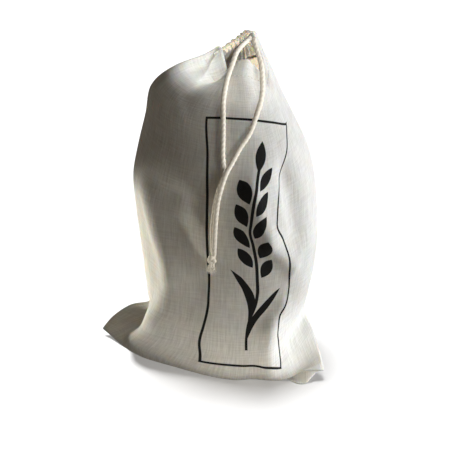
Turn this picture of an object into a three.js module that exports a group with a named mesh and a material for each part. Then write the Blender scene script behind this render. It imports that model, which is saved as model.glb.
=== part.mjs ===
// A drawstring bread bag of plain cotton cloth, standing open-mouthed on its own base.
// Two flat-cut panels are sewn together at both sides and along the bottom, and a cord gathers the neck.
// Millimetres, +Z up, the front faces -Y. Places on a panel are given on its flat cloth:
// across from -150 at the left seam to 150 at the right seam,
// up from 0 at the bottom seam to 400 at the mouth.
import * as THREE from 'three';

// Cloth
const PANEL_WIDTH = 300;
const PANEL_HEIGHT = 400;
const CLOTH = 1.2;
const HALF_WIDTH = PANEL_WIDTH / 2;

// Room between the two layers: along a seam, and extra at the flattened corner tips
const SEAM_GAP = 1.3;
const CORNER_GAP = 2;
const CORNER_REACH = 90;

// How far from the side seams and the bottom seam the folds die out
const SIDE_FADE = 19;
const BASE_FADE = 12;
// From this level up the folds come to move the cloth level, so that the mouth's edge stays even
const LEVEL_FOLDS = 330;

// Cord
const CORD = 5;
const CORD_SIDES = 10;
const CORD_STEPS = 24;
const TOUCH_GAP = 0.3;

// Facets of a panel
const COLUMNS = 44;
const ROW_COUNT = 42;
const END_CROWDING = 0.25;

const FRONT = { name: 'front_panel', middle: 'front', outward: -1 };
const BACK = { name: 'back_panel', middle: 'back', outward: 1 };

// Standing form, a row for each level of the cloth: where the two seams and the two panel middles stand,
// and how flat the section's left and right ends are pressed (1 is a round end)
const FORM = [
  { up: 0, left: [-133, 44, 8], front: [6, -24, -7],
    right: [97, -57, 6], back: [6, -24, -7], ends: [1.5, 1.3] },
  { up: 24, left: [-120, 45, 23], front: [8, -50, -8],
    right: [94, -46, 22], back: [3, 0, -8], ends: [1.6, 1.4] },
  { up: 48, left: [-101, 40, 38], front: [10, -71, 7],
    right: [87, -32, 42], back: [0, 26, -7], ends: [1.4, 1.45] },
  { up: 72, left: [-80, 25, 50], front: [12, -73, 30],
    right: [79, -16, 58], back: [-3, 48, -2], ends: [1.15, 1.3] },
  { up: 100, left: [-80, 15, 75], front: [13, -73, 57],
    right: [83, -9, 80], back: [-4, 60, 22], ends: [1, 0.95] },
  { up: 132, left: [-83, 9, 106], front: [14, -71, 88],
    right: [88, -5, 108], back: [-3, 67, 54], ends: [1, 0.68] },
  { up: 164, left: [-86, 5, 138], front: [15, -73, 119],
    right: [91, -2, 138], back: [-2, 71, 87], ends: [1, 0.72] },
  { up: 196, left: [-89, 2, 170], front: [15, -80, 149],
    right: [90, 0, 168], back: [0, 74, 120], ends: [1, 0.95] },
  { up: 228, left: [-90.5, -1, 201], front: [17, -85, 179],
    right: [87, 2, 198], back: [2, 75, 153], ends: [1, 1.15] },
  { up: 260, left: [-84.5, -4, 232], front: [19, -82, 208],
    right: [80, 5, 227], back: [4, 71, 186], ends: [1, 1.2] },
  { up: 292, left: [-76.5, -7, 263], front: [21, -71, 236],
    right: [67, 8, 255], back: [6, 64, 218], ends: [1, 1.1] },
  { up: 324, left: [-70, -6, 291], front: [21, -56, 263],
    right: [54, 9, 281], back: [9, 53, 250], ends: [1, 1] },
  { up: 356, left: [-47, -3, 308.5], front: [19, -40, 287],
    right: [43, 9, 306], back: [12, 41, 283], ends: [1, 1] },
  { up: 380, left: [-20, 0, 318], front: [16, -28, 305],
    right: [34, 9, 324], back: [13, 31, 309], ends: [1, 1] },
  { up: 400, left: [-6, 2, 326], front: [19, -18, 319],
    right: [26, 9, 338], back: [13, 22, 332], ends: [1, 1] },
];

// Bows of the bottom seam towards its corners: centre and radii on the flat panels, and the push there
const SEAM_BOWS = [
  { at: [-74, 0], radii: [32, 42], push: [0, -19, -3] },
  { at: [90, 0], radii: [56, 24], push: [0, -8, 11] },
];

// Broad swells of the cloth: centre and radii on the flat panel, and how far the cloth is pushed there
const SWELLS = [
  // the skirt bulging out before the left corner, and the tuck behind it
  { panel: FRONT, at: [-84, 52], radii: [30, 34], push: [-25, -6, 1] },
  { panel: FRONT, at: [-114, 46], radii: [16, 34], push: [27, 4, 0] },
  // the square turn of the base towards the right corner
  { panel: FRONT, at: [56, 50], radii: [28, 46], push: [5, -8, 0] },
  { panel: FRONT, at: [36, 40], radii: [38, 21], push: [0, 12, 0] },
  // the cloth rolled forward under the right corner
  { panel: BACK, at: [77, 13], radii: [26, 9], push: [0, -22, -13] },
  { panel: BACK, at: [112, 10], radii: [22, 8], push: [0, -4, -4] },
  // the mouth's edge drawn down in three places by the cord
  { panel: FRONT, at: [-87, 400], radii: [27, 30], push: [1, -3, -19] },
  { panel: FRONT, at: [40, 400], radii: [26, 30], push: [0, 0, -7] },
  { panel: FRONT, at: [95, 400], radii: [38, 38], push: [7, -10, -30] },
  // the back's edge falling straight to the left, and its peak at the right
  { panel: BACK, at: [-100, 400], radii: [85, 40], push: [3, 0, -5.2] },
  { panel: BACK, at: [55, 400], radii: [30, 30], push: [0, 0, 2.5] },
];

// Folds, ridges above zero and valleys below, each along a line on the flat panel;
// one that grows starts from nothing and is full at its end
const FOLDS = [
  { panel: FRONT, from: [8, 258], to: [31, 204], width: 15, height: 5, grows: false },
  { panel: FRONT, from: [31, 204], to: [68, 166], width: 15, height: 4, grows: false },
  { panel: FRONT, from: [62, 264], to: [78, 206], width: 18, height: -6, grows: false },
  { panel: FRONT, from: [-100, 236], to: [-74, 162], width: 13, height: 5, grows: false },
  { panel: FRONT, from: [-72, 142], to: [-82, 98], width: 13, height: 5, grows: false },
  { panel: FRONT, from: [-60, 240], to: [-44, 150], width: 18, height: -4, grows: false },
  { panel: FRONT, from: [60, 122], to: [43, 102], width: 15, height: 3.5, grows: false },
  { panel: FRONT, from: [43, 102], to: [46, 46], width: 14, height: 4, grows: false },
  { panel: FRONT, from: [-38, 138], to: [47, 130], width: 22, height: -3, grows: false },
  { panel: FRONT, from: [34, 352], to: [-10, 400], width: 24, height: 3, grows: true },
  { panel: FRONT, from: [112, 330], to: [122, 400], width: 14, height: 3.5, grows: true },
  { panel: BACK, from: [-70, 215], to: [20, 150], width: 24, height: -5, grows: false },
  { panel: BACK, from: [30, 250], to: [88, 130], width: 20, height: 4, grows: false },
  { panel: BACK, from: [-108, 240], to: [-84, 110], width: 18, height: 3, grows: false },
  { panel: BACK, from: [-112, 320], to: [-114, 400], width: 16, height: 3, grows: true },
  { panel: BACK, from: [-66, 312], to: [-68, 400], width: 16, height: 3.5, grows: true },
  { panel: BACK, from: [-20, 305], to: [-22, 400], width: 16, height: 3, grows: true },
  { panel: BACK, from: [26, 310], to: [24, 400], width: 16, height: 3.5, grows: true },
  { panel: BACK, from: [70, 316], to: [68, 400], width: 16, height: 3, grows: true },
  { panel: BACK, from: [112, 326], to: [110, 400], width: 16, height: 3, grows: true },
];

// Each strand of the cord: free points from the top of the right seam over the mouth's edge,
// then places on the front panel with the strand's lift off the cloth
const LEFT_STRAND = {
  name: 'cord_left',
  free: [[23.5, 4, 333], [19, -3, 330.5], [14.5, -12, 328], [10.4, -22, 324.5], [6.8, -29, 316.5]],
  laid: [
    { across: -36, up: 376, lift: 1.5 },
    { across: -33, up: 362, lift: 0.6 },
    { across: -30, up: 346, lift: 0.4 },
    { across: -27, up: 330, lift: 0.4 },
    { across: -25.5, up: 312, lift: 0.4 },
    { across: -25, up: 294, lift: 0.4 },
    { across: -22.5, up: 278, lift: 0.2 },
    { across: -23.5, up: 264, lift: 0.2 },
    { across: -25, up: 250, lift: 0.2 },
    { across: -25.5, up: 234, lift: 0.2 },
    { across: -25.5, up: 218, lift: 0.2 },
    { across: -25, up: 206, lift: 0.2 },
    { across: -24.8, up: 194.5, lift: 0.2 },
  ],
};
const RIGHT_STRAND = {
  name: 'cord_right',
  free: [[27, -1.5, 333.5], [28.6, -6, 328], [31.2, -13, 320.5], [34, -20, 312.5]],
  laid: [
    { across: 61, up: 386, lift: 2.5 },
    { across: 58, up: 374, lift: 1.5 },
    { across: 51, up: 362, lift: 1 },
    { across: 40, up: 351, lift: 0.8 },
    { across: 28, up: 341, lift: 0.6 },
    { across: 15, up: 330, lift: 0.5 },
    { across: 1, up: 316, lift: 0.5 },
    { across: -9, up: 301, lift: 1.2 },
    { across: -15, up: 288, lift: 3.6 },
    { across: -19.5, up: 276, lift: 5.4 },
    { across: -21.8, up: 263, lift: 5.6 },
    { across: -23, up: 250, lift: 5.6 },
    { across: -23, up: 234, lift: 5.5 },
    { across: -22.8, up: 218, lift: 5.4 },
    { across: -22.6, up: 206, lift: 5.4 },
    { across: -22.8, up: 194, lift: 5.4 },
  ],
};

// Knot of both strands and its frayed ends: radius along an axis that follows the front panel down
const KNOT = {
  name: 'cord_knot',
  top: { across: -24, up: 193.5 },
  bottom: { across: -27.5, up: 167 },
  height: 6.8,
  profile: [
    { along: 0, radius: 4.4 },
    { along: 2, radius: 5.2 },
    { along: 4.5, radius: 5.4 },
    { along: 8, radius: 4.8 },
    { along: 11, radius: 3.4 },
    { along: 14, radius: 2.6 },
    { along: 18, radius: 2.8 },
    { along: 24, radius: 3.4 },
  ],
};
const KNOT_SIDES = 16;

const COTTON = new THREE.MeshStandardMaterial({ color: 0xe6dfd0, roughness: 0.95, metalness: 0 });
const TWINE = new THREE.MeshStandardMaterial({ color: 0xe9e0c9, roughness: 0.9, metalness: 0 });

const smoothStep = (x) => THREE.MathUtils.smoothstep(x, 0, 1);

// All the values of one row of the form, in a fixed order
function rowValues(row) {
  return [...row.left, ...row.front, ...row.right, ...row.back, ...row.ends];
}

const LEVELS = FORM.map((row) => row.up);
const VALUES = FORM.map(rowValues);
const SLOPES = VALUES.map((values, i) => values.map((value, k) => slopeAt(i, k)));

// Slope of one value at one row, from the steps to the rows below and above
function slopeAt(i, k) {
  const below = Math.max(i - 1, 0);
  const above = Math.min(i + 1, LEVELS.length - 1);
  const rise = (a, b) => (VALUES[b][k] - VALUES[a][k]) / (LEVELS[b] - LEVELS[a]);
  if (below === i) return rise(i, above);
  if (above === i) return rise(below, i);
  const lower = LEVELS[i] - LEVELS[below];
  const upper = LEVELS[above] - LEVELS[i];
  return (rise(below, i) * upper + rise(i, above) * lower) / (lower + upper);
}

// The form at any level of the cloth, on smooth curves through the rows
function formAt(up) {
  const level = THREE.MathUtils.clamp(up, 0, PANEL_HEIGHT);
  let i = 0;
  while (i < LEVELS.length - 2 && LEVELS[i + 1] <= level) i += 1;
  const step = LEVELS[i + 1] - LEVELS[i];
  const u = (level - LEVELS[i]) / step;
  const start = 2 * u ** 3 - 3 * u ** 2 + 1;
  const leave = u ** 3 - 2 * u ** 2 + u;
  const arrive = u ** 3 - u ** 2;
  const value = (k) => VALUES[i][k] * start + SLOPES[i][k] * step * leave
    + VALUES[i + 1][k] * (1 - start) + SLOPES[i + 1][k] * step * arrive;
  const point = (k) => new THREE.Vector3(value(k), value(k + 1), value(k + 2));
  return { left: point(0), front: point(3), right: point(6), back: point(9), ends: [value(12), value(13)] };
}

// How much of a swell or fold is left beside the seams
function seamFade(across, up) {
  return smoothStep((HALF_WIDTH - Math.abs(across)) / SIDE_FADE) * smoothStep(up / BASE_FADE);
}

// Smooth standing form of a panel, without folds
function bodyPoint(panel, across, up) {
  const form = formAt(up);
  const chord = form.right.clone().sub(form.left);
  const middle = form[panel.middle];
  const share = middle.clone().sub(form.left).dot(chord) / chord.lengthSq();
  const centre = form.left.clone().addScaledVector(chord, share);
  const end = across < 0 ? form.left : form.right;
  const press = across < 0 ? form.ends[0] : form.ends[1];
  const angle = (1 - Math.abs(across) / HALF_WIDTH) * Math.PI / 2;
  const point = centre.clone();
  point.addScaledVector(end.clone().sub(centre), Math.cos(angle));
  point.addScaledVector(middle.clone().sub(centre), Math.sin(angle) ** press);
  for (const bow of SEAM_BOWS) push(point, bow, across, up, 1);
  for (const swell of SWELLS) {
    if (swell.panel === panel) push(point, swell, across, up, seamFade(across, up));
  }
  return point;
}

// Moves a point by its share of a round push
function push(point, swell, across, up, fade) {
  const x = (across - swell.at[0]) / swell.radii[0];
  const y = (up - swell.at[1]) / swell.radii[1];
  point.addScaledVector(new THREE.Vector3(...swell.push), fade * Math.exp(-x * x - y * y));
}

// Outward normal of any point function over a panel
function normalOf(pointAt, panel, across, up) {
  const step = 0.6;
  const right = pointAt(panel, Math.min(across + step, HALF_WIDTH), up);
  const left = pointAt(panel, Math.max(across - step, -HALF_WIDTH), up);
  const above = pointAt(panel, across, Math.min(up + step, PANEL_HEIGHT));
  const below = pointAt(panel, across, Math.max(up - step, 0));
  return right.sub(left).cross(above.sub(below)).multiplyScalar(-panel.outward).normalize();
}

// Height of all the folds at one place
function foldHeight(panel, across, up) {
  let height = 0;
  for (const fold of FOLDS) {
    if (fold.panel !== panel) continue;
    const run = [fold.to[0] - fold.from[0], fold.to[1] - fold.from[1]];
    const offset = [across - fold.from[0], up - fold.from[1]];
    const length = run[0] ** 2 + run[1] ** 2;
    const along = THREE.MathUtils.clamp((offset[0] * run[0] + offset[1] * run[1]) / length, 0, 1);
    const apart = (offset[0] - along * run[0]) ** 2 + (offset[1] - along * run[1]) ** 2;
    const grown = fold.grows ? smoothStep(along) : 1;
    height += fold.height * grown * Math.exp(-apart / fold.width ** 2);
  }
  return height * seamFade(across, up);
}

// Middle of the cloth's thickness: folded, kept off the other layer, and flat where it lies on the ground
function clothPoint(panel, across, up) {
  const point = bodyPoint(panel, across, up);
  const normal = normalOf(bodyPoint, panel, across, up);
  normal.z *= 1 - smoothStep((up - LEVEL_FOLDS) / (PANEL_HEIGHT - LEVEL_FOLDS));
  point.addScaledVector(normal, foldHeight(panel, across, up));
  const corner = smoothStep(2 * Math.abs(across) / HALF_WIDTH - 1) * (1 - smoothStep(up / CORNER_REACH));
  point.y += panel.outward * (SEAM_GAP + CORNER_GAP * corner) / 2;
  point.z -= panel.outward * CORNER_GAP * corner / 2;
  point.z = Math.max(point.z, CLOTH / 2);
  return point;
}

// Level of one facet row, with rows crowded towards the base and the mouth
function facetLevel(row) {
  const u = row / ROW_COUNT;
  return PANEL_HEIGHT * (u - END_CROWDING * Math.sin(2 * Math.PI * u) / (2 * Math.PI));
}

// Closed solid of one panel: an outer skin, an inner skin and the cut edge all round
function panelGeometry(panel) {
  const outer = [];
  const inner = [];
  for (let row = 0; row <= ROW_COUNT; row += 1) {
    for (let column = 0; column <= COLUMNS; column += 1) {
      const across = PANEL_WIDTH * (column / COLUMNS - 0.5);
      const up = facetLevel(row);
      const point = clothPoint(panel, across, up);
      const normal = normalOf(clothPoint, panel, across, up);
      outer.push(point.clone().addScaledVector(normal, CLOTH / 2));
      inner.push(point.clone().addScaledVector(normal, -CLOTH / 2));
    }
  }
  const width = COLUMNS + 1;
  const skin = outer.length;
  const faces = [];
  const quad = (a, b, c, d) => {
    const triangles = panel.outward < 0 ? [a, b, d, b, c, d] : [a, d, b, b, d, c];
    faces.push(...triangles);
  };
  for (let row = 0; row < ROW_COUNT; row += 1) {
    for (let column = 0; column < COLUMNS; column += 1) {
      const a = row * width + column;
      quad(a, a + 1, a + 1 + width, a + width);
      quad(a + skin, a + width + skin, a + 1 + width + skin, a + 1 + skin);
    }
    const left = row * width;
    const right = left + COLUMNS;
    quad(left, left + width, left + width + skin, left + skin);
    quad(right, right + skin, right + width + skin, right + width);
  }
  for (let column = 0; column < COLUMNS; column += 1) {
    const top = ROW_COUNT * width + column;
    quad(column, column + skin, column + 1 + skin, column + 1);
    quad(top, top + 1, top + 1 + skin, top + skin);
  }
  const geometry = new THREE.BufferGeometry();
  geometry.setFromPoints([...outer, ...inner]);
  geometry.setIndex(faces);
  return geometry;
}

function panelMesh(panel) {
  const mesh = new THREE.Mesh(panelGeometry(panel), COTTON);
  mesh.name = panel.name;
  return mesh;
}

// A place at a height over the middle of the front panel's cloth
function overFront(across, up, height) {
  const point = clothPoint(FRONT, across, up);
  return point.addScaledVector(normalOf(clothPoint, FRONT, across, up), height);
}

// Round tube of the cord's size along one strand's route
function strandMesh(strand) {
  const seat = CLOTH / 2 + TOUCH_GAP + CORD / 2;
  const free = strand.free.map((place) => new THREE.Vector3(...place));
  const laid = strand.laid.map((place) => overFront(place.across, place.up, seat + place.lift));
  const route = new THREE.CatmullRomCurve3([...free, ...laid]);
  const section = new THREE.Shape();
  for (let side = 0; side < CORD_SIDES; side += 1) {
    const angle = 2 * Math.PI * side / CORD_SIDES;
    const corner = [CORD / 2 * Math.cos(angle), CORD / 2 * Math.sin(angle)];
    if (side === 0) section.moveTo(...corner);
    else section.lineTo(...corner);
  }
  const tube = { steps: CORD_STEPS, bevelEnabled: false, extrudePath: route };
  const mesh = new THREE.Mesh(new THREE.ExtrudeGeometry(section, tube), TWINE);
  mesh.name = strand.name;
  return mesh;
}

// The knot turned from its profile, its axis laid along the cloth
function knotMesh() {
  const top = overFront(KNOT.top.across, KNOT.top.up, KNOT.height);
  const bottom = overFront(KNOT.bottom.across, KNOT.bottom.up, KNOT.height);
  const last = KNOT.profile[KNOT.profile.length - 1];
  const outline = KNOT.profile.map((row) => new THREE.Vector2(row.radius, row.along));
  const profile = [new THREE.Vector2(0, 0), ...outline, new THREE.Vector2(0, last.along)];
  const mesh = new THREE.Mesh(new THREE.LatheGeometry(profile, KNOT_SIDES), TWINE);
  mesh.name = KNOT.name;
  mesh.position.copy(top);
  mesh.quaternion.setFromUnitVectors(new THREE.Vector3(0, 1, 0), bottom.sub(top).normalize());
  return mesh;
}

// The origin is under the middle of the cloth's own box, on the ground
const cloth = [panelMesh(FRONT), panelMesh(BACK)];
const box = new THREE.Box3();
cloth.forEach((mesh) => box.expandByObject(mesh));
const middle = box.getCenter(new THREE.Vector3());

const bag = new THREE.Group();
bag.add(...cloth, strandMesh(LEFT_STRAND), strandMesh(RIGHT_STRAND), knotMesh());
bag.position.set(-middle.x, -middle.y, -box.min.z);

export default bag;
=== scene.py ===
# A drawstring bread bag of plain cotton, dressed over its solids: two panels with folds, seams and hem,
# a printed border with a wheat ear, a twisted cord with its knot, and a pale stage.
# The tables are in millimetres. Places on a panel are given on its flat cloth: across from -150 at the left
# seam to 150 at the right seam, up from 0 at the bottom seam to 400 at the mouth.
import math
from collections import namedtuple

import bpy
import numpy as np
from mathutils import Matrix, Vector


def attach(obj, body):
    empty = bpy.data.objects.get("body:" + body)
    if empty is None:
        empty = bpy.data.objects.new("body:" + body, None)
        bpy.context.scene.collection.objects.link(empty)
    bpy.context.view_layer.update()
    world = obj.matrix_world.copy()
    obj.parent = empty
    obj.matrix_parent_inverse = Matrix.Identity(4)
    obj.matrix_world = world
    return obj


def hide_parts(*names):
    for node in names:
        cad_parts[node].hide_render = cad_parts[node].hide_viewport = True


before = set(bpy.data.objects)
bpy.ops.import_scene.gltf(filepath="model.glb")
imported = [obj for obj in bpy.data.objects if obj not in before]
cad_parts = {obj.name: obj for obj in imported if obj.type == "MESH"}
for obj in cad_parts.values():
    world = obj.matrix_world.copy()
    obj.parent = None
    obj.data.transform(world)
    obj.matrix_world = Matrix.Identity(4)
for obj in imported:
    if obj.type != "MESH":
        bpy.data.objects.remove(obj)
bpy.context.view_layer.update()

MM = 0.001
# Where the form's own zero stands in the part's frame
ORIGIN = np.array([17.894, 6.550, 0.0])

# Cloth: a panel's cut, its thickness, and how far from a seam it comes to its full thickness
PANEL_WIDTH = 300.0
PANEL_HEIGHT = 400.0
HALF_WIDTH = PANEL_WIDTH / 2
CLOTH = 0.8
SEAM_TUCK = 2.5
FRONT = -1
BACK = 1
BOTH = 0

# Turned hem: its depth, the radius of its turn, how far inside the cloth its edge is sewn,
# and how late it comes down to that
HEM = 22.0
HEM_ROUND = 2.4
HEM_SEWN = 1.0
HEM_EASE = 0.4

# Facets of a panel
COLUMNS = 176
ROWS = 230
HEM_TURNS = 7
HEM_ROWS = 14
SIDE_CROWDING = 0.35
END_CROWDING = 0.5

# Room between the two layers at the flattened corner tips
CORNER_GAP = 2.0
CORNER_REACH = 90.0
CORNER_CLOSE = 12.0

# How far from the side seams and the bottom seam the folds die out
SIDE_FADE = 19.0
BASE_FADE = 12.0
# From this level up the folds come to move the cloth level, so that the mouth's edge stays even
LEVEL_FOLDS = 330.0

# Cord: its diameter, its room over the cloth, its facets and its twisted plies
CORD = 5.0
TOUCH_GAP = 0.1
CORD_SIDES = 24
CORD_STEP = 0.7
PLIES = 3
PLY_DEPTH = 0.17
TWIST_PITCH = 15.0

# Standing form, a row for each level of the cloth: where the two seams and the two panel middles stand,
# and how flat the section's left and right ends are pressed (1 is a round end)
Level = namedtuple("Level", "up left front right back ends")
FORM = [
    Level(0, (-133, 44, 8), (6, -24, -7), (97, -57, 6), (6, -24, -7), (1.5, 1.3)),
    Level(24, (-120, 45, 23), (8, -50, -8), (94, -46, 22), (3, 0, -8), (1.6, 1.4)),
    Level(48, (-101, 40, 38), (10, -71, 7), (87, -32, 42), (0, 26, -7), (1.4, 1.45)),
    Level(72, (-80, 25, 50), (12, -73, 30), (79, -16, 58), (-3, 48, -2), (1.15, 1.3)),
    Level(100, (-80, 15, 75), (13, -73, 57), (83, -9, 80), (-4, 60, 22), (1, 0.95)),
    Level(132, (-83, 9, 106), (14, -71, 88), (88, -5, 108), (-3, 67, 54), (1, 0.68)),
    Level(164, (-86, 5, 138), (15, -73, 119), (91, -2, 138), (-2, 71, 87), (1, 0.72)),
    Level(196, (-89, 2, 170), (15, -80, 149), (90, 0, 168), (0, 74, 120), (1, 0.95)),
    Level(228, (-90.5, -1, 201), (17, -85, 179), (87, 2, 198), (2, 75, 153), (1, 1.15)),
    Level(260, (-84.5, -4, 232), (19, -82, 208), (80, 5, 227), (4, 71, 186), (1, 1.2)),
    Level(292, (-76.5, -7, 263), (21, -71, 236), (67, 8, 255), (6, 64, 218), (1, 1.1)),
    Level(324, (-70, -6, 291), (21, -56, 263), (54, 9, 281), (9, 53, 250), (1, 1)),
    Level(356, (-47, -3, 308.5), (19, -40, 287), (43, 9, 306), (12, 41, 283), (1, 1)),
    Level(380, (-20, 0, 318), (16, -28, 305), (34, 9, 324), (13, 31, 309), (1, 1)),
    Level(400, (-6, 2, 326), (19, -18, 319), (26, 9, 338), (13, 22, 332), (1, 1)),
]

# Broad swells of the cloth: centre and radii on the flat panel, and how far the cloth is pushed there
Swell = namedtuple("Swell", "panel at radii push")
# Bows of the bottom seam, which both panels share
SEAM_BOWS = [
    Swell(BOTH, (-74, 0), (32, 42), (0, -19, -3)),
    Swell(BOTH, (90, 0), (56, 24), (0, -8, 11)),
]
# Swells of one panel
SWELLS = [
    # the skirt bulging out before the left corner, and the tuck behind it
    Swell(FRONT, (-84, 67), (30, 33), (-25, -6, 1)),
    Swell(FRONT, (-114, 48), (16, 34), (27, 4, 0)),
    # the square turn of the base towards the right corner
    Swell(FRONT, (56, 50), (28, 46), (5, -8, 0)),
    Swell(FRONT, (36, 40), (38, 21), (0, 12, 0)),
    # the cloth rolled forward under the right corner
    Swell(BACK, (77, 13), (26, 9), (0, -22, -13)),
    Swell(BACK, (112, 10), (22, 8), (0, -4, -4)),
    # the mouth's edge drawn down in three places by the cord
    Swell(FRONT, (-87, 400), (27, 30), (1, -3, -19)),
    Swell(FRONT, (40, 400), (26, 30), (0, 0, -7)),
    Swell(FRONT, (95, 400), (38, 38), (7, -10, -30)),
    # the back's edge falling straight to the left, and its peak at the right
    Swell(BACK, (-100, 400), (85, 40), (3, 0, -5.2)),
    Swell(BACK, (55, 400), (30, 30), (0, 0, 2.5)),
]

# Folds, ridges above zero and valleys below, each along a line on the flat panel;
# one that grows starts from nothing and is full at its end, and a low power makes a sharp crease
Fold = namedtuple("Fold", "panel start end width height grows power", defaults=(False, 2))
FOLDS = [
    # down the front's right half
    Fold(FRONT, (8, 258), (31, 204), 13, 6),
    Fold(FRONT, (31, 204), (68, 166), 11, 5),
    Fold(FRONT, (62, 264), (78, 206), 17, -7),
    # down the front's left half
    Fold(FRONT, (-100, 236), (-74, 162), 13, 5),
    Fold(FRONT, (-72, 142), (-82, 98), 13, 5),
    Fold(FRONT, (-60, 240), (-44, 150), 18, -4),
    # above the front's base
    Fold(FRONT, (60, 122), (43, 102), 12, 4),
    Fold(FRONT, (43, 102), (46, 46), 12, 4.5),
    Fold(FRONT, (-38, 138), (47, 130), 22, -3),
    # up to the front's edge of the mouth
    Fold(FRONT, (-76, 342), (-140, 384), 7, 4.5, grows=True),
    Fold(FRONT, (-66, 350), (-141, 395), 5, -8, grows=True, power=1.6),
    Fold(FRONT, (34, 352), (-10, 400), 24, 3, grows=True),
    Fold(FRONT, (112, 330), (122, 400), 14, 3.5, grows=True),
    # over the back
    Fold(BACK, (-70, 215), (20, 150), 24, -5),
    Fold(BACK, (30, 250), (88, 130), 20, 4),
    Fold(BACK, (-108, 240), (-84, 110), 18, 3),
]

# Gathers of the back's casing, drawn together by the cord: where they end at the mouth, and their form
GATHERS = range(-120, 121, 24)
GATHER_FOOT = 335.0
GATHER_SLANT = 4.0
GATHER_WIDTH = 7.0
GATHER_HEIGHT = 4.6

# Small wrinkles of handled cloth: how many, over what part of a panel, and the ranges of their form
WRINKLES = 110
WRINKLE_SEEDS = {FRONT: 11, BACK: 23}
WRINKLE_FROM = (-135, 25)
WRINKLE_TO = (135, 370)
WRINKLE_REACH = (10, 45)
WRINKLE_WIDTH = (5, 11)
WRINKLE_HEIGHT = 0.35

# Each strand of the cord: free points from the top of the right seam over the mouth's edge,
# then places on the front panel with the strand's lift off the cloth
Laid = namedtuple("Laid", "across up lift")
Strand = namedtuple("Strand", "name free laid")
LEFT_STRAND = Strand(
    "cord_left",
    [(23.5, 4, 333), (19, -3, 330.5), (14.5, -12, 328), (10.4, -22, 324.5), (6.8, -29, 316.5)],
    [
        Laid(-36, 376, 1.5),
        Laid(-33, 362, 0.6),
        Laid(-30, 346, 0.4),
        Laid(-27, 330, 0.4),
        Laid(-25.5, 312, 0.4),
        Laid(-25, 294, 0.4),
        Laid(-22.5, 278, 0.2),
        Laid(-23.5, 264, 0.2),
        Laid(-25, 250, 0.2),
        Laid(-25.5, 234, 0.2),
        Laid(-25.5, 218, 0.2),
        Laid(-25, 206, 0.2),
        Laid(-24.8, 194.5, 0.2),
    ],
)
RIGHT_STRAND = Strand(
    "cord_right",
    [(27, -1.5, 333.5), (28.6, -6, 328), (31.2, -13, 320.5), (34, -20, 312.5)],
    [
        Laid(61, 386, 2.5),
        Laid(58, 374, 1.5),
        Laid(51, 362, 1),
        Laid(40, 351, 0.8),
        Laid(28, 341, 0.6),
        Laid(15, 330, 0.5),
        Laid(1, 316, 0.5),
        Laid(-9, 301, 1.2),
        Laid(-15, 288, 3.6),
        Laid(-19.5, 276, 5.4),
        Laid(-21.8, 263, 5.6),
        Laid(-23, 250, 5.6),
        Laid(-23, 234, 5.5),
        Laid(-22.8, 218, 5.4),
        Laid(-22.6, 206, 5.4),
        Laid(-22.8, 194, 5.4),
    ],
)

# Knot of both strands, laid along the cloth from its top to its frayed end
KNOT_TOP = Laid(-24, 193.5, 6.8)
KNOT_END = Laid(-27.5, 167, 6.8)

# Camera, at the photo's angle
CAMERA_AT = (0.0, -1174.6, 592.5)
CAMERA_AIM = (11.5, -11.1, 134.5)
LENS = 94.74


def to_part(points):
    """Places of the form, in metres in the part's frame."""
    return (np.asarray(points, float) + ORIGIN) * MM


def make_camera():
    camera = bpy.data.objects.new("camera", bpy.data.cameras.new("camera"))
    camera.data.lens = LENS
    camera.data.clip_end = 100
    camera.location = to_part(CAMERA_AT)
    aim = Vector(to_part(CAMERA_AIM)) - camera.location
    camera.rotation_euler = aim.to_track_quat("-Z", "Y").to_euler()
    bpy.context.scene.collection.objects.link(camera)
    bpy.context.scene.camera = camera


# Form of the cloth


def smooth_step(x):
    x = np.clip(x, 0, 1)
    return x * x * (3 - 2 * x)


def unit(vectors):
    return vectors / np.maximum(np.linalg.norm(vectors, axis=-1, keepdims=True), 1e-9)


def through_rows(knots, values, at):
    """Values at the places given, on smooth curves through the rows of a table."""
    knots = np.asarray(knots, float)
    values = np.asarray(values, float)
    steps = np.diff(knots)[:, None]
    rises = np.diff(values, axis=0) / steps
    between = (rises[:-1] * steps[1:] + rises[1:] * steps[:-1]) / (steps[:-1] + steps[1:])
    slopes = np.vstack([rises[:1], between, rises[-1:]])
    at = np.clip(at, knots[0], knots[-1])
    row = np.clip(np.searchsorted(knots, at, side="right") - 1, 0, len(knots) - 2)
    u = (at - knots[row])[:, None] / steps[row]
    start = 2 * u**3 - 3 * u**2 + 1
    leave = u**3 - 2 * u**2 + u
    arrive = u**3 - u**2
    below = values[row] * start + slopes[row] * steps[row] * leave
    above = values[row + 1] * (1 - start) + slopes[row + 1] * steps[row] * arrive
    return below + above


LEVELS = [row.up for row in FORM]
VALUES = [[*row.left, *row.front, *row.right, *row.back, *row.ends] for row in FORM]


def seam_fade(across, up):
    """How much of a swell or fold is left beside the seams."""
    return smooth_step((HALF_WIDTH - np.abs(across)) / SIDE_FADE) * smooth_step(up / BASE_FADE)


def pushed(swell, across, up):
    """How far a swell pushes each place."""
    x = (across - swell.at[0]) / swell.radii[0]
    y = (up - swell.at[1]) / swell.radii[1]
    return np.exp(-x * x - y * y)[:, None] * np.array(swell.push, float)


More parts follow.
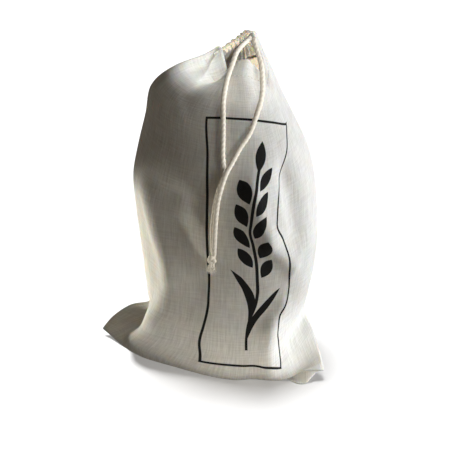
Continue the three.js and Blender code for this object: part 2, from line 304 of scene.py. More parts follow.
def body(panel, across, up):
    """Smooth standing form of a panel, without folds."""
    form = through_rows(LEVELS, VALUES, up)
    left, front, right, back = (form[:, k : k + 3] for k in (0, 3, 6, 9))
    middle = front if panel == FRONT else back
    chord = right - left
    share = np.sum((middle - left) * chord, axis=1) / np.sum(chord * chord, axis=1)
    centre = left + share[:, None] * chord
    end = np.where(across[:, None] < 0, left, right)
    press = np.where(across < 0, form[:, 12], form[:, 13])
    angle = (1 - np.abs(across) / HALF_WIDTH) * math.pi / 2
    points = centre + (end - centre) * np.cos(angle)[:, None]
    points += (middle - centre) * (np.sin(angle) ** press)[:, None]
    for bow in SEAM_BOWS:
        points += pushed(bow, across, up)
    fade = seam_fade(across, up)[:, None]
    for swell in SWELLS:
        if swell.panel == panel:
            points += fade * pushed(swell, across, up)
    return points


def normals_of(point_at, panel, across, up):
    """Outward normals of any point function over a panel."""
    step = 0.6
    right = point_at(panel, np.minimum(across + step, HALF_WIDTH), up)
    left = point_at(panel, np.maximum(across - step, -HALF_WIDTH), up)
    above = point_at(panel, across, np.minimum(up + step, PANEL_HEIGHT))
    below = point_at(panel, across, np.maximum(up - step, 0))
    return unit(np.cross(right - left, above - below) * -panel)


def gathers():
    """Folds of the back's casing, side by side."""
    folds = []
    for place in GATHERS:
        foot = (place + GATHER_SLANT, GATHER_FOOT)
        folds.append(Fold(BACK, foot, (place, PANEL_HEIGHT), GATHER_WIDTH, GATHER_HEIGHT, grows=True))
    return folds


def small_wrinkles(panel):
    """Short shallow folds strewn over a panel."""
    draw = np.random.default_rng(WRINKLE_SEEDS[panel])
    wrinkles = []
    for _ in range(WRINKLES):
        start = draw.uniform(WRINKLE_FROM, WRINKLE_TO)
        angle = draw.uniform(0, math.pi)
        reach = draw.uniform(*WRINKLE_REACH)
        end = start + reach * np.array([math.cos(angle), math.sin(angle)])
        width = draw.uniform(*WRINKLE_WIDTH)
        height = draw.normal(0, WRINKLE_HEIGHT)
        wrinkles.append(Fold(panel, tuple(start), tuple(end), width, height))
    return wrinkles


PANEL_FOLDS = {
    panel: [fold for fold in FOLDS + gathers() if fold.panel == panel] + small_wrinkles(panel)
    for panel in (FRONT, BACK)
}


def fold_height(panel, across, up):
    """Height of all the folds at each place."""
    height = np.zeros_like(across)
    for fold in PANEL_FOLDS[panel]:
        run = np.subtract(fold.end, fold.start)
        x = across - fold.start[0]
        y = up - fold.start[1]
        along = np.clip((x * run[0] + y * run[1]) / (run @ run), 0, 1)
        apart = np.hypot(x - along * run[0], y - along * run[1])
        grown = smooth_step(along) if fold.grows else 1.0
        height += fold.height * grown * np.exp(-((apart / fold.width) ** fold.power))
    return height * seam_fade(across, up)


def cloth(panel, across, up):
    """Inner face of the cloth: folded, kept off the other layer, and flat where it lies on the ground."""
    across = np.asarray(across, float)
    up = np.asarray(up, float)
    points = body(panel, across, up)
    normals = normals_of(body, panel, across, up)
    normals[:, 2] *= 1 - smooth_step((up - LEVEL_FOLDS) / (PANEL_HEIGHT - LEVEL_FOLDS))
    points += normals * fold_height(panel, across, up)[:, None]
    corner = smooth_step(2 * np.abs(across) / HALF_WIDTH - 1) * (1 - smooth_step(up / CORNER_REACH))
    edge = np.minimum(HALF_WIDTH - np.abs(across), up)
    parted = panel * CORNER_GAP / 2 * corner * smooth_step(edge / CORNER_CLOSE)
    points[:, 1] += parted
    points[:, 2] -= parted
    points[:, 2] = np.maximum(points[:, 2], CLOTH)
    return points


# Meshes


def add_piece(name, points, faces, material):
    mesh = bpy.data.meshes.new(name)
    mesh.from_pydata(to_part(points).tolist(), [], faces)
    mesh.polygons.foreach_set("use_smooth", [True] * len(mesh.polygons))
    mesh.materials.append(material)
    mesh.update()
    piece = bpy.data.objects.new(name, mesh)
    bpy.context.scene.collection.objects.link(piece)
    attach(piece, "root")
    return piece


def add_map(piece, name, places):
    """A map on the mesh from one pair of numbers for each point."""
    mesh = piece.data
    corners = np.empty(len(mesh.loops), int)
    mesh.loops.foreach_get("vertex_index", corners)
    layer = mesh.uv_layers.new(name=name)
    layer.data.foreach_set("uv", np.asarray(places, np.float32)[corners].ravel())


def grid_faces(rows, columns, first=0, closed=False):
    """Quads between the rows of points, each row joined to itself where it is closed."""
    row, column = np.meshgrid(np.arange(rows - 1), np.arange(columns - (not closed)), indexing="ij")
    near = first + row * columns + column
    beside = first + row * columns + (column + 1) % columns
    return np.stack([near, beside, beside + columns, near + columns], axis=-1).reshape(-1, 4).tolist()


# Materials


class Shade:
    """Short calls for making one material's nodes."""

    def __init__(self, name):
        self.material = bpy.data.materials.new(name)
        self.material.use_nodes = True
        self.tree = self.material.node_tree
        self.surface = self.tree.nodes["Principled BSDF"]

    def node(self, kind, **settings):
        node = self.tree.nodes.new(kind)
        for name, value in settings.items():
            setattr(node, name, value)
        return node

    def feed(self, socket, value):
        if isinstance(value, bpy.types.NodeSocket):
            self.tree.links.new(value, socket)
        else:
            socket.default_value = value

    def calc(self, operation, *values):
        node = self.node("ShaderNodeMath", operation=operation)
        for socket, value in zip(node.inputs, values):
            self.feed(socket, value)
        return node.outputs[0]

    def add(self, a, b):
        return self.calc("ADD", a, b)

    def sub(self, a, b):
        return self.calc("SUBTRACT", a, b)

    def mul(self, a, b):
        return self.calc("MULTIPLY", a, b)

    def least(self, *values):
        found = values[0]
        for value in values[1:]:
            found = self.calc("MINIMUM", found, value)
        return found

    def most(self, *values):
        found = values[0]
        for value in values[1:]:
            found = self.calc("MAXIMUM", found, value)
        return found

    def size(self, a):
        """The number without its sign."""
        return self.calc("ABSOLUTE", a)

    def map(self, name):
        """The two numbers of a map, and both as one vector."""
        vector = self.node("ShaderNodeUVMap", uv_map=name).outputs["UV"]
        split = self.node("ShaderNodeSeparateXYZ")
        self.feed(split.inputs[0], vector)
        return split.outputs["X"], split.outputs["Y"], vector

    def noise(self, vector, stretch, detail=2.0, roughness=0.5):
        """Noise from 0 to 1 over a map, finer along each axis where the stretch is larger."""
        scaled = self.node("ShaderNodeVectorMath", operation="MULTIPLY")
        self.feed(scaled.inputs[0], vector)
        self.feed(scaled.inputs[1], (*stretch, 1.0))
        noise = self.node("ShaderNodeTexNoise", noise_dimensions="2D")
        self.feed(noise.inputs["Vector"], scaled.outputs[0])
        self.feed(noise.inputs["Scale"], 1.0)
        self.feed(noise.inputs["Detail"], detail)
        self.feed(noise.inputs["Roughness"], roughness)
        return noise.outputs["Fac"]

    def blend(self, share, a, b):
        """A colour between two colours."""
        mix = self.node("ShaderNodeMix", data_type="RGBA")
        self.feed(mix.inputs["Factor"], share)
        self.feed(mix.inputs["A"], a)
        self.feed(mix.inputs["B"], b)
        return mix.outputs["Result"]

    def bump(self, height, strength, distance):
        bump = self.node("ShaderNodeBump")
        self.feed(bump.inputs["Height"], height)
        self.feed(bump.inputs["Strength"], strength)
        self.feed(bump.inputs["Distance"], distance)
        self.feed(self.surface.inputs["Normal"], bump.outputs["Normal"])

    def set(self, **values):
        """Constant values of the surface, by the socket's name with spaces as underscores."""
        for name, value in values.items():
            self.surface.inputs[name.replace("_", " ")].default_value = value


# Cotton: its deepest and palest colours, its mean tone between them, and the contrast of its streaks
COTTON_DEEP = (0.58, 0.54, 0.47, 1)
COTTON_LIGHT = (0.86, 0.83, 0.76, 1)
MEAN_TONE = 0.62
STREAK_CONTRAST = 2.8
# Grain of the weave across and up the cloth, finer where it is larger
WARP_GRAIN = (0.6, 0.04)
WEFT_GRAIN = (0.035, 0.65)
SLUB_GRAIN = (0.055, 1.15)
SLUB_SHARPNESS = 3.0
CLOUD_GRAIN = (0.022, 0.022)
# Shares of the warp in the streaks, and of the broad clouds in the tone
WARP_SHARE = 0.6
CLOUD_SHARE = 0.2
# Relief of the threads, the streaks and the slubs
THREAD_PITCH = 0.85
THREAD_RELIEF = 0.5
STREAK_RELIEF = 1.6
SLUB_RELIEF = 1.5

# Cotton cord: its deepest and palest colours, the grain of its fibres and its soil round and along it
TWINE_DEEP = (0.62, 0.55, 0.43, 1)
TWINE_LIGHT = (0.87, 0.82, 0.71, 1)
FIBRE_GRAIN = (26.0, 0.35)
SOIL_GRAIN = (1.0, 0.05)
FIBRE_SHARE = 0.6

# Print, in millimetres from the border's lower left corner
PRINT_WIDTH = 84.0
PRINT_HEIGHT = 262.0
BORDER_LINE = 2.5
# Ink: its colour, how soft its edge is, how much of the cloth it covers and how much less on raised threads
INK = (0.003, 0.003, 0.003, 1)
INK_EDGE = 0.35
INK_COVER = 0.98
INK_WEAR = 0.02
# A place far from the print, for cloth that bears none
OFF_PRINT = -1000.0

# Wheat ear: its swaying stalk
STALK_LOW = 18.0
STALK_HIGH = 214.0
STALK_HALF_WIDTH = 1.9
SWAY_LENGTH = 70.0
SWAY_REACH = 3.5
# Its leaning grains, in rows up both sides of the stalk, and the grain at its top
EAR_LOW = 96.0
GRAIN_PITCH = 24.0
GRAIN_ROWS = 5.0
GRAIN_OUT = 11.5
GRAIN_LEAN = math.radians(30)
GRAIN_HALF_WIDTH = 6.6
GRAIN_HALF_LENGTH = 13.4
TOP_GRAIN_AT = 226.0
TOP_GRAIN_HALF_LENGTH = 15.4
# Its two bowed leaves, the left one higher up the stalk
LEAF_LOW = 26.0
LEAF_LENGTH = 62.0
LEAF_SHIFT = 18.0
LEAF_REACH = 27.0
LEAF_BOW = 1.6
LEAF_HALF_WIDTH = 5.6


def weave(shade, x, y, vector):
    """Colour share, height and threads of a plain weave with uneven threads."""
    warp = shade.noise(vector, WARP_GRAIN, detail=3.0, roughness=0.7)
    weft = shade.noise(vector, WEFT_GRAIN, detail=3.0, roughness=0.7)
    slubs = shade.calc("POWER", shade.noise(vector, SLUB_GRAIN, detail=1.0), SLUB_SHARPNESS)
    clouds = shade.noise(vector, CLOUD_GRAIN)
    streaks = shade.add(shade.mul(warp, WARP_SHARE), shade.mul(weft, 1 - WARP_SHARE))
    uneven = shade.add(shade.mul(streaks, 1 - CLOUD_SHARE), shade.mul(clouds, CLOUD_SHARE))
    tone = shade.calc("MULTIPLY_ADD", uneven, STREAK_CONTRAST, MEAN_TONE - STREAK_CONTRAST / 2)
    threads = shade.mul(
        shade.calc("SINE", shade.mul(x, math.pi / THREAD_PITCH)),
        shade.calc("SINE", shade.mul(y, math.pi / THREAD_PITCH)),
    )
    lumps = shade.add(shade.mul(streaks, STREAK_RELIEF), shade.mul(slubs, SLUB_RELIEF))
    height = shade.add(shade.mul(threads, THREAD_RELIEF), lumps)
    return tone, height, threads


def lens(shade, x, y, half_width, half_length):
    """How far inside a pointed oval a place is, above zero inside it."""
    share = shade.calc("POWER", shade.calc("DIVIDE", y, half_length), 2.0)
    return shade.sub(shade.mul(shade.sub(1.0, share), half_width), shade.size(x))


def grains(shade, y, out, on_left):
    """How far inside a grain beside the stalk a place is."""
    place = shade.add(shade.mul(shade.sub(y, EAR_LOW), 1 / GRAIN_PITCH), shade.mul(on_left, 0.5))
    along = shade.mul(shade.sub(shade.calc("FRACT", place), 0.5), GRAIN_PITCH)
    off = shade.sub(out, GRAIN_OUT)
    cosine, sine = math.cos(GRAIN_LEAN), math.sin(GRAIN_LEAN)
    grain_x = shade.sub(shade.mul(off, cosine), shade.mul(along, sine))
    grain_y = shade.add(shade.mul(off, sine), shade.mul(along, cosine))
    return shade.least(
        lens(shade, grain_x, grain_y, GRAIN_HALF_WIDTH, GRAIN_HALF_LENGTH),
        shade.mul(shade.sub(place, on_left), GRAIN_PITCH),
        shade.mul(shade.sub(GRAIN_ROWS, place), GRAIN_PITCH),
    )


def leaves(shade, y, out, on_left):
    """How far inside a leaf a place is."""
    rise = shade.mul(shade.sub(shade.sub(y, LEAF_LOW), shade.mul(on_left, LEAF_SHIFT)), 1 / LEAF_LENGTH)
    bowed = shade.mul(shade.calc("POWER", shade.most(rise, 0.0), LEAF_BOW), LEAF_REACH)
    wide = shade.mul(shade.calc("SINE", shade.mul(rise, math.pi)), LEAF_HALF_WIDTH)
    return shade.least(
        shade.sub(wide, shade.size(shade.sub(out, bowed))),
        shade.mul(rise, LEAF_LENGTH),
        shade.mul(shade.sub(1.0, rise), LEAF_LENGTH),
    )


def wheat_ear(shade, x, y):
    """How far inside a wheat ear on its stalk a place is."""
    sway = shade.mul(shade.calc("SINE", shade.mul(shade.sub(y, STALK_LOW), 1 / SWAY_LENGTH)), SWAY_REACH)
    side = shade.sub(shade.sub(x, PRINT_WIDTH / 2), sway)
    out = shade.size(side)
    on_left = shade.calc("LESS_THAN", side, 0.0)
    stalk = shade.least(
        shade.sub(STALK_HALF_WIDTH, out),
        shade.sub(y, STALK_LOW),
        shade.sub(STALK_HIGH, y),
    )
    top = lens(shade, side, shade.sub(y, TOP_GRAIN_AT), GRAIN_HALF_WIDTH, TOP_GRAIN_HALF_LENGTH)
    return shade.most(stalk, grains(shade, y, out, on_left), top, leaves(shade, y, out, on_left))


def border(shade):
    """How far inside the line of the plain border a place is."""
    beside, above, _ = shade.map("border")
    return shade.sub(BORDER_LINE / 2, shade.size(shade.most(beside, above)))


def cotton_cloth(name, printed):
    shade = Shade(name)
    x, y, vector = shade.map("cloth")
    tone, height, threads = weave(shade, x, y, vector)
    colour = shade.blend(tone, COTTON_DEEP, COTTON_LIGHT)
    if printed:
        print_x, print_y, _ = shade.map("print")
        inside = shade.most(border(shade), wheat_ear(shade, print_x, print_y))
        ink = shade.calc("MULTIPLY_ADD", inside, 1 / INK_EDGE, 0.5)
        ink = shade.least(shade.most(ink, 0.0), shade.sub(INK_COVER, shade.mul(threads, INK_WEAR)))
        colour = shade.blend(ink, colour, INK)
    shade.feed(shade.surface.inputs["Base Color"], colour)
    shade.bump(height, strength=0.35, distance=0.0003)
    shade.set(Roughness=0.95, Subsurface_Weight=0.5)
    shade.set(Subsurface_Radius=(1.6, 1.0, 0.5), Subsurface_Scale=0.001)
    shade.set(Specular_IOR_Level=0.08)
    return shade.material


def cotton_cord():
    shade = Shade("cotton_cord")
    _, _, vector = shade.map("cord")
    fibres = shade.noise(vector, FIBRE_GRAIN, detail=3.0, roughness=0.65)
    soil = shade.noise(vector, SOIL_GRAIN)
    tone = shade.add(shade.mul(fibres, FIBRE_SHARE), shade.mul(soil, 1 - FIBRE_SHARE))
    shade.feed(shade.surface.inputs["Base Color"], shade.blend(tone, TWINE_DEEP, TWINE_LIGHT))
    shade.bump(fibres, strength=0.5, distance=0.0004)
    shade.set(Roughness=0.9, Sheen_Weight=0.15, Sheen_Roughness=0.5, Subsurface_Weight=0.1)
    shade.set(Subsurface_Radius=(1.0, 0.75, 0.5), Subsurface_Scale=0.0015)
    return shade.material


# Panels


def crowded(count, crowding):
    """Even shares from 0 to 1, drawn together at both ends."""
    share = np.linspace(0, 1, count + 1)
    return share - crowding * np.sin(2 * math.pi * share) / (2 * math.pi)


def sheet_rows():
    """Each row's level on the cloth, how far it lies inside it, and its length along the cut."""
    top = PANEL_HEIGHT - HEM_ROUND
    rows = [(level, 0.0, level) for level in top * crowded(ROWS, END_CROWDING)]
    for step in range(1, HEM_TURNS + 1):
        angle = math.pi * step / HEM_TURNS
        level = top + HEM_ROUND * math.sin(angle)
        rows.append((level, HEM_ROUND * (1 - math.cos(angle)), top + HEM_ROUND * angle))
    for step in range(1, HEM_ROWS + 1):
        share = step / HEM_ROWS
        inside = 2 * HEM_ROUND + (HEM_SEWN - 2 * HEM_ROUND) * smooth_step((1 + HEM_EASE) * share - HEM_EASE)
        rows.append((top - HEM * share, inside, top + HEM_ROUND * math.pi + HEM * share))
    return np.array(rows).T


def panel_grid(panel):
    """Inner face of one panel's sheet with its turned hem, as rows of points."""
    levels, inside, lengths = sheet_rows()
    places = PANEL_WIDTH * (crowded(COLUMNS, SIDE_CROWDING) - 0.5)
    across, up = (grid.ravel() for grid in np.meshgrid(places, levels))
    depth = np.repeat(inside, len(places))
    points = cloth(panel, across, up)
    points -= normals_of(body, panel, across, up) * depth[:, None]
    shape = (len(levels), len(places))
    lengths = np.repeat(lengths, len(places))
    return points.reshape(*shape, 3), across.reshape(shape), lengths.reshape(shape)


def edge_ways(grid):
    """Unit steps from each edge into the sheet: left, right and bottom."""
    return unit(grid[:, 1] - grid[:, 0]), unit(grid[:, -2] - grid[:, -1]), unit(grid[1] - grid[0])


def sheet_faces(rows, columns):
    """Outer skin, inner skin and the rim of a sheet whose outer points come first."""
    skin = rows * columns
    outer = grid_faces(rows, columns)
    inner = [face[::-1] for face in grid_faces(rows, columns, first=skin)]
    bottom = list(range(columns))
    right = [row * columns + columns - 1 for row in range(rows)]
    top = [skin - 1 - column for column in range(columns)]
    left = [row * columns for row in reversed(range(rows))]
    loop = bottom[:-1] + right[:-1] + top[:-1] + left[:-1]
    rim = [[b, a, a + skin, b + skin] for a, b in zip(loop, loop[1:] + loop[:1])]
    return outer + inner + rim


# The border's sides on the flat cloth: the left and right lines up it,
# and the lower and upper lines across it
Side = namedtuple("Side", "along place")
BORDER_LEFT = [
    Side(62, -31),
    Side(84, -36.5),
    Side(104, -34),
    Side(120, -31.5),
    Side(140, -30.5),
    Side(200, -30.5),
    Side(248, -33.5),
    Side(287, -39.5),
    Side(327, -44.5),
]
BORDER_RIGHT = [
    Side(50, 60.5),
    Side(60, 63),
    Side(69, 63.5),
    Side(82, 60.5),
    Side(98, 54.5),
    Side(108, 53.5),
    Side(115, 55.5),
    Side(124, 63),
    Side(131, 67),
    Side(141, 68),
    Side(160, 62.5),
    Side(185, 57),
    Side(201, 51),
    Side(219, 41.5),
    Side(225, 42.5),
    Side(253, 49.5),
    Side(272, 62),
    Side(287, 76),
    Side(299, 86.5),
    Side(307, 97),
    Side(330, 122),
]
BORDER_LOW = [
    Side(-60, 60),
    Side(-31, 62),
    Side(-13, 64),
    Side(3, 64.5),
    Side(36, 62),
    Side(46, 60),
    Side(61, 50.5),
    Side(90, 34),
]
BORDER_HIGH = [
    Side(-70, 322),
    Side(-44, 327),
    Side(-31, 329.5),
    Side(-10, 331),
    Side(32, 328),
    Side(64, 320),
    Side(96, 307),
]


def side_line(sides, at):
    return through_rows([side.along for side in sides], [[side.place] for side in sides], at)[:, 0]


def print_places(across, up):
    """Places on the print for places on the cloth, the print following the cloth's own drift."""
    left, right = side_line(BORDER_LEFT, up), side_line(BORDER_RIGHT, up)
    low, high = side_line(BORDER_LOW, across), side_line(BORDER_HIGH, across)
    x = PRINT_WIDTH * (across - left) / (right - left)
    y = PRINT_HEIGHT * (up - low) / (high - low)
    return np.stack([x, y], axis=1)


def past_side(sides, along, place):
    """How far each place is past a side of the border, square to that side."""
    slope = side_line(sides, along + 0.5) - side_line(sides, along - 0.5)
    return (place - side_line(sides, along)) / np.hypot(1, slope)


def border_places(across, up):
    """How far each place is outside the border beside it, and above or below it."""
    beside = np.maximum(-past_side(BORDER_LEFT, up, across), past_side(BORDER_RIGHT, up, across))
    above = np.maximum(-past_side(BORDER_LOW, across, up), past_side(BORDER_HIGH, across, up))
    return np.stack([beside, above], axis=1)


def make_panel(panel, name, grids, material):
    points, across, lengths = grids[panel]
    rows, columns = across.shape
    normals = unit(np.cross(np.gradient(points, axis=1), np.gradient(points, axis=0)) * -panel)
    edge = np.minimum(HALF_WIDTH - np.abs(across), lengths)
    outer = points + normals * (CLOTH * smooth_step(edge / SEAM_TUCK))[..., None]
    outer[..., 2] = np.maximum(outer[..., 2], 0)
    inner = points.copy()
    ways = [unit(a + b) for a, b in zip(edge_ways(grids[FRONT][0]), edge_ways(grids[BACK][0]))]
    inner[:, 0] += ways[0] * CLOTH
    inner[:, -1] += ways[1] * CLOTH
    inner[0] += ways[2] * CLOTH
    faces = sheet_faces(rows, columns)
    if panel == BACK:
        faces = [face[::-1] for face in faces]
    vertices = np.concatenate([outer.reshape(-1, 3), inner.reshape(-1, 3)])
    piece = add_piece(name, vertices, faces, material)
    flat = np.stack([across.ravel(), lengths.ravel()], axis=1)
    add_map(piece, "cloth", np.concatenate([flat, flat]))
    if panel == FRONT:
        for map_name, places in (("print", print_places), ("border", border_places)):
            printed = places(flat[:, 0], flat[:, 1])
            printed[flat[:, 1] > PANEL_HEIGHT - HEM] = OFF_PRINT
            add_map(piece, map_name, np.concatenate([printed, np.full_like(printed, OFF_PRINT)]))
    return piece


# Cord

# Cuts of a route between two of its points, before it is cut into even steps
ROUTE_CUTS = 40
# A way that no route starts along
ASIDE = (0.3, 0.2, 1.0)


def over_front(place, height):
    """A point at a height over the front panel's inner face."""
    across, up = np.array([place.across], float), np.array([place.up], float)
    point = cloth(FRONT, across, up) + normals_of(body, FRONT, across, up) * height
    return point[0]


def run_along(points):
    """Length along a line of points, up to each of them."""
    return np.concatenate([[0], np.cumsum(np.linalg.norm(np.diff(points, axis=0), axis=1))])


def read_along(vectors, run, places):
    """The vectors of a line of points, read at lengths along it."""
    return np.stack([np.interp(places, run, vectors[:, k]) for k in range(3)], axis=1)


def even_route(points):
    """A smooth curve through the points, cut into even steps."""
    points = np.asarray(points, float)
    steps = np.linalg.norm(np.diff(points, axis=0), axis=1)
    knots = np.concatenate([[0], np.cumsum(np.sqrt(steps))])
    fine = through_rows(knots, points, np.linspace(0, knots[-1], ROUTE_CUTS * len(points)))
    run = run_along(fine)
    return read_along(fine, run, np.linspace(0, run[-1], int(run[-1] / CORD_STEP)))


def carried_frames(route):
    """Two side vectors along a route that turn no more than it does."""
    ways = unit(np.gradient(route, axis=0))
    side = unit(np.cross(ways[0], ASIDE))
    sides = [side]
    for way in ways[1:]:
        side = unit(side - way * (side @ way))
        sides.append(side)
    sides = np.array(sides)
    return sides, np.cross(ways, sides)


def tube(route, radii, plies=0, pitch=TWIST_PITCH, sides=CORD_SIDES):
    """Points, faces and map of a closed tube, twisted of plies where they are given."""
    side, other = carried_frames(route)
    run = run_along(route)
    angle = 2 * math.pi * np.arange(sides) / sides
    turn = angle[None, :] - 2 * math.pi * run[:, None] / pitch
    lobes = 1 - PLY_DEPTH * (1 - np.abs(np.cos(plies * turn / 2)))
    radius = np.broadcast_to(radii, len(route))[:, None] * lobes
    ring = side[:, None] * np.cos(angle)[:, None] + other[:, None] * np.sin(angle)[:, None]
    points = route[:, None] + ring * radius[..., None]
    places = np.stack(np.broadcast_arrays(turn / (2 * math.pi), run[:, None]), axis=-1)
    count = len(route) * sides
    vertices = np.concatenate([points.reshape(-1, 3), route[:1], route[-1:]])
    maps = np.concatenate([places.reshape(-1, 2), [[0, 0], [0, run[-1]]]])
    faces = grid_faces(len(route), sides, closed=True)
    last = count - sides
    faces += [[(k + 1) % sides, k, count] for k in range(sides)]
    faces += [[last + k, last + (k + 1) % sides, count + 1] for k in range(sides)]
    return vertices, faces, maps


def join(parts):
    """Several points-faces-map triples as one."""
    vertices, faces, maps, first = [], [], [], 0
    for part in parts:
        vertices.append(part[0])
        faces += [[corner + first for corner in face] for face in part[1]]
        maps.append(part[2])
        first += len(part[0])
    return np.concatenate(vertices), faces, np.concatenate(maps)


def add_tubes(name, parts, material):
    """One piece of several tubes."""
    vertices, faces, maps = join(parts)
    piece = add_piece(name, vertices, faces, material)
    add_map(piece, "cord", maps)
    return piece


def strand_route(strand):
    seat = CLOTH + TOUCH_GAP + CORD / 2
    laid = [over_front(place, seat + place.lift) for place in strand.laid]
    return even_route([*strand.free, *laid])


def make_strand(strand, material):
    route = strand_route(strand)
    twist = tube(route, CORD / 2, plies=PLIES)
    piece = add_tubes(strand.name + "_twist", [twist], material)
    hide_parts(strand.name)
    return piece, route


# Knot: places in it are to the right, down along the cord and out from the cloth

# Its tied lump, a trefoil loop of the cord
LOOP_AT = 7.0
LOOP_SINK = 0.4
LOOP_WIDTH = 0.85
LOOP_LENGTH = 1.15
LOOP_DEPTH = 1.6
LOOP_START = 0.5
LOOP_POINTS = 181
LOOP_RADIUS = 2.35
LOOP_PITCH = 9.0
LOOP_SIDES = 20
# Its two tails, which part and thicken towards their ends
TAIL_FROM = 11.0
TAIL_TO = 21.0
TAIL_SHIFT = 0.3
TAIL_APART = 0.9
TAIL_SPREAD = 0.7
TAIL_SINK = 0.6
TAIL_STAGGER = 0.5
TAIL_POINTS = 28
TAIL_RADIUS = 1.7
TAIL_FLARE = 0.3
TAIL_PITCH = 10.0
TAIL_SIDES = 18
# The loose fibres at the tails' ends, which spread from their roots and grow thinner
FIBRES = 170
FIBRE_SEED = 5
FIBRE_FROM = 16.5
FIBRE_TO = (22.0, 25.5)
FIBRE_ROOT = 1.25
FIBRE_FLARE = (0.9, 1.7)
FIBRE_STRAY = 0.45
FIBRE_CURL = 0.5
FIBRE_BEND = 1.6
FIBRE_SINK = 0.9
FIBRE_DEPTH = 0.75
FIBRE_POINTS = 6
FIBRE_RADII = (0.184, 0.088)
FIBRE_SIDES = 5


def knot_frame():
    """The knot's top, and its ways to the right, down along the cord and out from the cloth."""
    top, end = over_front(KNOT_TOP, KNOT_TOP.lift), over_front(KNOT_END, KNOT_END.lift)
    down = unit(end - top)
    out = normals_of(body, FRONT, np.array([KNOT_TOP.across]), np.array([KNOT_TOP.up]))[0]
    out = unit(out - down * (out @ down))
    return top, np.array([np.cross(out, -down), down, out])


def knot_loop():
    """Route of the tied lump."""
    turn = np.linspace(0, 2 * math.pi, LOOP_POINTS) + LOOP_START
    right = LOOP_WIDTH * (np.sin(turn) + 2 * np.sin(2 * turn))
    down = LOOP_AT + LOOP_LENGTH * (np.cos(turn) - 2 * np.cos(2 * turn))
    out = -LOOP_SINK - LOOP_DEPTH * np.sin(3 * turn)
    return np.stack([right, down, out], axis=1)


def knot_tail(lean, along):
    """Route of the tail that leans to one side."""
    right = lean * (TAIL_APART + TAIL_SPREAD * along**2) - TAIL_SHIFT
    down = TAIL_FROM + (TAIL_TO - TAIL_FROM) * along
    out = TAIL_STAGGER * lean - TAIL_SINK * (1 + along)
    return np.stack([right, down, out], axis=1)


def loose_fibre(draw, along):
    """Route of one fibre."""
    root = draw.normal(0, FIBRE_ROOT, 2)
    flare = root * draw.uniform(*FIBRE_FLARE) + draw.normal(0, FIBRE_STRAY, 2)
    reach = draw.uniform(*FIBRE_TO)
    curl = draw.normal(0, FIBRE_CURL, 2)
    spread = root + np.outer(along**FIBRE_BEND, flare - root)
    bow = np.outer(np.sin(math.pi * along), curl)
    right = spread[:, 0] + bow[:, 0]
    down = FIBRE_FROM + (reach - FIBRE_FROM) * along
    out = FIBRE_DEPTH * spread[:, 1] + bow[:, 1] - FIBRE_SINK
    return np.stack([right, down, out], axis=1)


def make_knot(material):
    top, ways = knot_frame()
    loop = top + knot_loop() @ ways
    parts = [tube(loop, LOOP_RADIUS, plies=PLIES, pitch=LOOP_PITCH, sides=LOOP_SIDES)]
    along = np.linspace(0, 1, TAIL_POINTS)
    radii = TAIL_RADIUS + TAIL_FLARE * along**2
    for lean in (-1, 1):
        route = top + knot_tail(lean, along) @ ways
        parts.append(tube(route, radii, plies=PLIES, pitch=TAIL_PITCH, sides=TAIL_SIDES))
    draw = np.random.default_rng(FIBRE_SEED)
    along = np.linspace(0, 1, FIBRE_POINTS)
    radii = np.linspace(*FIBRE_RADII, FIBRE_POINTS)
    for _ in range(FIBRES):
        route = top + loose_fibre(draw, along) @ ways
        parts.append(tube(route, radii, sides=FIBRE_SIDES))
    piece = add_tubes("cord_knot_tied", parts, material)
    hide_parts("cord_knot")
    return piece


# Stitches that hold the hem: their length and gap, how far they keep from the hem's edge and the seams,
# the cuts of the line they follow, and their form
STITCH = 2.6
STITCH_GAP = 1.3
STITCH_INSET = 1.5
STITCH_MARGIN = 4.0
STITCH_CUTS = 800
STITCH_RADIUS = 0.26
STITCH_RISE = 1.5
STITCH_SINK = 0.7
STITCH_POINTS = 7
STITCH_SIDES = 6


def make_stitches(panel, name, material):
    across = np.linspace(STITCH_MARGIN - HALF_WIDTH, HALF_WIDTH - STITCH_MARGIN, STITCH_CUTS)
    up = np.full_like(across, PANEL_HEIGHT - HEM + STITCH_INSET)
    line = cloth(panel, across, up) + normals_of(cloth, panel, across, up) * CLOTH
    normals = normals_of(body, panel, across, up)
    run = run_along(line)
    share = np.linspace(0, 1, STITCH_POINTS)
    arch = STITCH_RADIUS * (STITCH_RISE * np.sin(math.pi * share) - STITCH_SINK)
    parts = []
    for start in np.arange(0, run[-1] - STITCH, STITCH + STITCH_GAP):
        places = start + STITCH * share
        route = read_along(line, run, places) + read_along(normals, run, places) * arch[:, None]
        parts.append(tube(route, STITCH_RADIUS, sides=STITCH_SIDES))
    return add_tubes(name, parts, material)


# Stage

FLOOR_REACH = 8.0
FLOOR_COLOUR = (0.9, 0.9, 0.9, 1)
WORLD = (0.062, 0.056, 0.049, 1)
WHITE = (1, 1, 1)
CREAM = (1, 0.97, 0.92)
AMBER = (1, 0.91, 0.73)

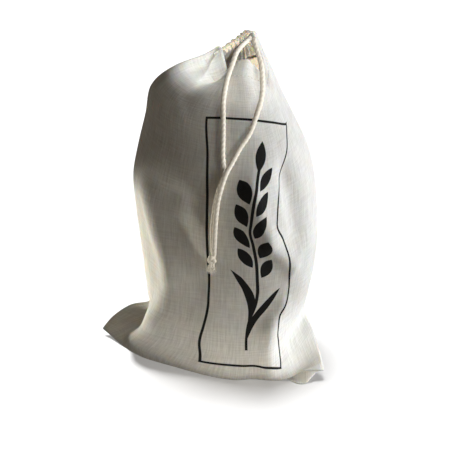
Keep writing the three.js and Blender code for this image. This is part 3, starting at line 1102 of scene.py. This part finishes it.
# Lamps in metres, with the pieces that each one lights: the size of an area is its width and height,
# that of a sun or a spot its angle in degrees
Lamp = namedtuple("Lamp", "name lights kind at aim power size colour")
LAMPS = [
    # the floor
    Lamp("floor_sun", "floor", "SUN", (-0.12, 0.1, 1), (0, 0, 0), 3.35, 26, WHITE),
    Lamp("floor_fill", "floor", "SUN", (0, 0, 1), (0, 0, 0), 0.8, 0, WHITE),
    # the whole bag from the right, the cord, the front's neck, the inside of the mouth, and the back
    Lamp("side_key", "bag", "AREA", (1.4, -0.03, 0.42), (0, 0, 0.17), 19.5, (0.6, 0.9), (0.95, 1, 1.1)),
    Lamp("cord_light", "cords", "AREA", (0.8, -0.9, 0.5), (0, 0, 0.25), 5.5, (0.4, 0.4), (1, 0.99, 0.96)),
    Lamp("neck_top", "front", "SPOT", (-0.1, -0.1, 1.3), (-0.007, -0.004, 0.315), 48, 3, (0.96, 1, 1.05)),
    Lamp("mouth_light", "back", "SPOT", (-0.45, -0.75, 0.95), (0.047, 0.02, 0.298), 95, 3.3, AMBER),
    Lamp("back_sky", "back", "AREA", (0.7, 1.2, 0.12), (0, 0, 0.17), 4, (0.8, 0.8), WHITE),
    # the front, the left side, the base, the neck and the right corner
    Lamp("front_key", "bag", "AREA", (0.95, -0.85, 0.5), (0, 0, 0.17), 3.2, (0.4, 0.4), WHITE),
    Lamp("left_sky", "bag", "AREA", (-1.1, -0.3, 0.3), (0, 0, 0.2), 0.65, (0.8, 0.8), (1, 0.91, 0.8)),
    Lamp("left_bounce", "bag", "SPOT", (-0.45, 0.12, 0.02), (-0.062, -0.02, 0.115), 8, 26, (1, 0.98, 0.9)),
    Lamp("front_bounce", "bag", "AREA", (0, -0.15, 0.004), (0, -0.05, 0.04), 0.1, (0.24, 0.04), CREAM),
    Lamp("neck_light", "bag", "SPOT", (0.15, -1.1, 0.68), (0.036, -0.012, 0.306), 17, 4.6, (0.99, 1, 1.02)),
    Lamp("corner_light", "bag", "SPOT", (0.8, -0.65, 0.2), (0.1, -0.055, 0.035), 8, 6.4, (0.96, 1, 1.06)),
]
SPOT_SOFTNESS = 0.012
SPOT_BLEND = 0.6


def make_floor():
    shade = Shade("pale_floor")
    shade.set(Base_Color=FLOOR_COLOUR, Roughness=0.9)
    mesh = bpy.data.meshes.new("floor")
    reach = FLOOR_REACH
    corners = [(-reach, -reach, 0), (reach, -reach, 0), (reach, reach, 0), (-reach, reach, 0)]
    mesh.from_pydata(corners, [], [(0, 1, 2, 3)])
    mesh.materials.append(shade.material)
    floor = bpy.data.objects.new("floor", mesh)
    bpy.context.scene.collection.objects.link(floor)
    floor.visible_diffuse = False
    return floor


def group_of(name, pieces):
    group = bpy.data.collections.new(name)
    for piece in pieces:
        group.objects.link(piece)
    return group


def make_light(lamp, receivers):
    light = bpy.data.lights.new(lamp.name, lamp.kind)
    light.energy = lamp.power
    light.color = lamp.colour
    if lamp.kind == "AREA":
        light.shape = "RECTANGLE"
        light.size, light.size_y = lamp.size
    elif lamp.kind == "SUN":
        light.angle = math.radians(lamp.size)
    else:
        light.spot_size = math.radians(lamp.size)
        light.spot_blend = SPOT_BLEND
        light.shadow_soft_size = SPOT_SOFTNESS
    piece = bpy.data.objects.new(lamp.name, light)
    piece.location = lamp.at
    piece.rotation_euler = (Vector(lamp.aim) - Vector(lamp.at)).to_track_quat("-Z", "Y").to_euler()
    piece.visible_camera = False
    bpy.context.scene.collection.objects.link(piece)
    piece.light_linking.receiver_collection = group_of(lamp.name + "_lit", receivers)
    return piece


def make_stage(front, back, stitches, cords):
    scene = bpy.context.scene
    scene.view_settings.view_transform = "Standard"
    world = bpy.data.worlds.new("studio")
    world.use_nodes = True
    world.node_tree.nodes["Background"].inputs["Color"].default_value = WORLD
    scene.world = world
    panels = [front, back, *stitches]
    pieces = {
        "floor": [make_floor()],
        "bag": panels + cords,
        "front": [front],
        "back": [back],
        "cords": cords,
    }
    lights = {lamp.name: make_light(lamp, pieces[lamp.lights]) for lamp in LAMPS}
    lights["floor_fill"].data.use_shadow = False
    lights["side_key"].light_linking.blocker_collection = group_of("side_key_shade", panels)


# Making

make_camera()
cord_material = cotton_cord()
left_strand, left_route = make_strand(LEFT_STRAND, cord_material)
right_strand, right_route = make_strand(RIGHT_STRAND, cord_material)
knot = make_knot(cord_material)

plain_cotton = cotton_cloth("plain_cotton", printed=False)
printed_cotton = cotton_cloth("printed_cotton", printed=True)
grids = {panel: panel_grid(panel) for panel in (FRONT, BACK)}
front = make_panel(FRONT, "front_cloth", grids, printed_cotton)
back = make_panel(BACK, "back_cloth", grids, plain_cotton)
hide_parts("front_panel")
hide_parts("back_panel")
front_stitches = make_stitches(FRONT, "hem_stitches_front", cord_material)
back_stitches = make_stitches(BACK, "hem_stitches_back", cord_material)

make_stage(front, back, [front_stitches, back_stitches], [left_strand, right_strand, knot])
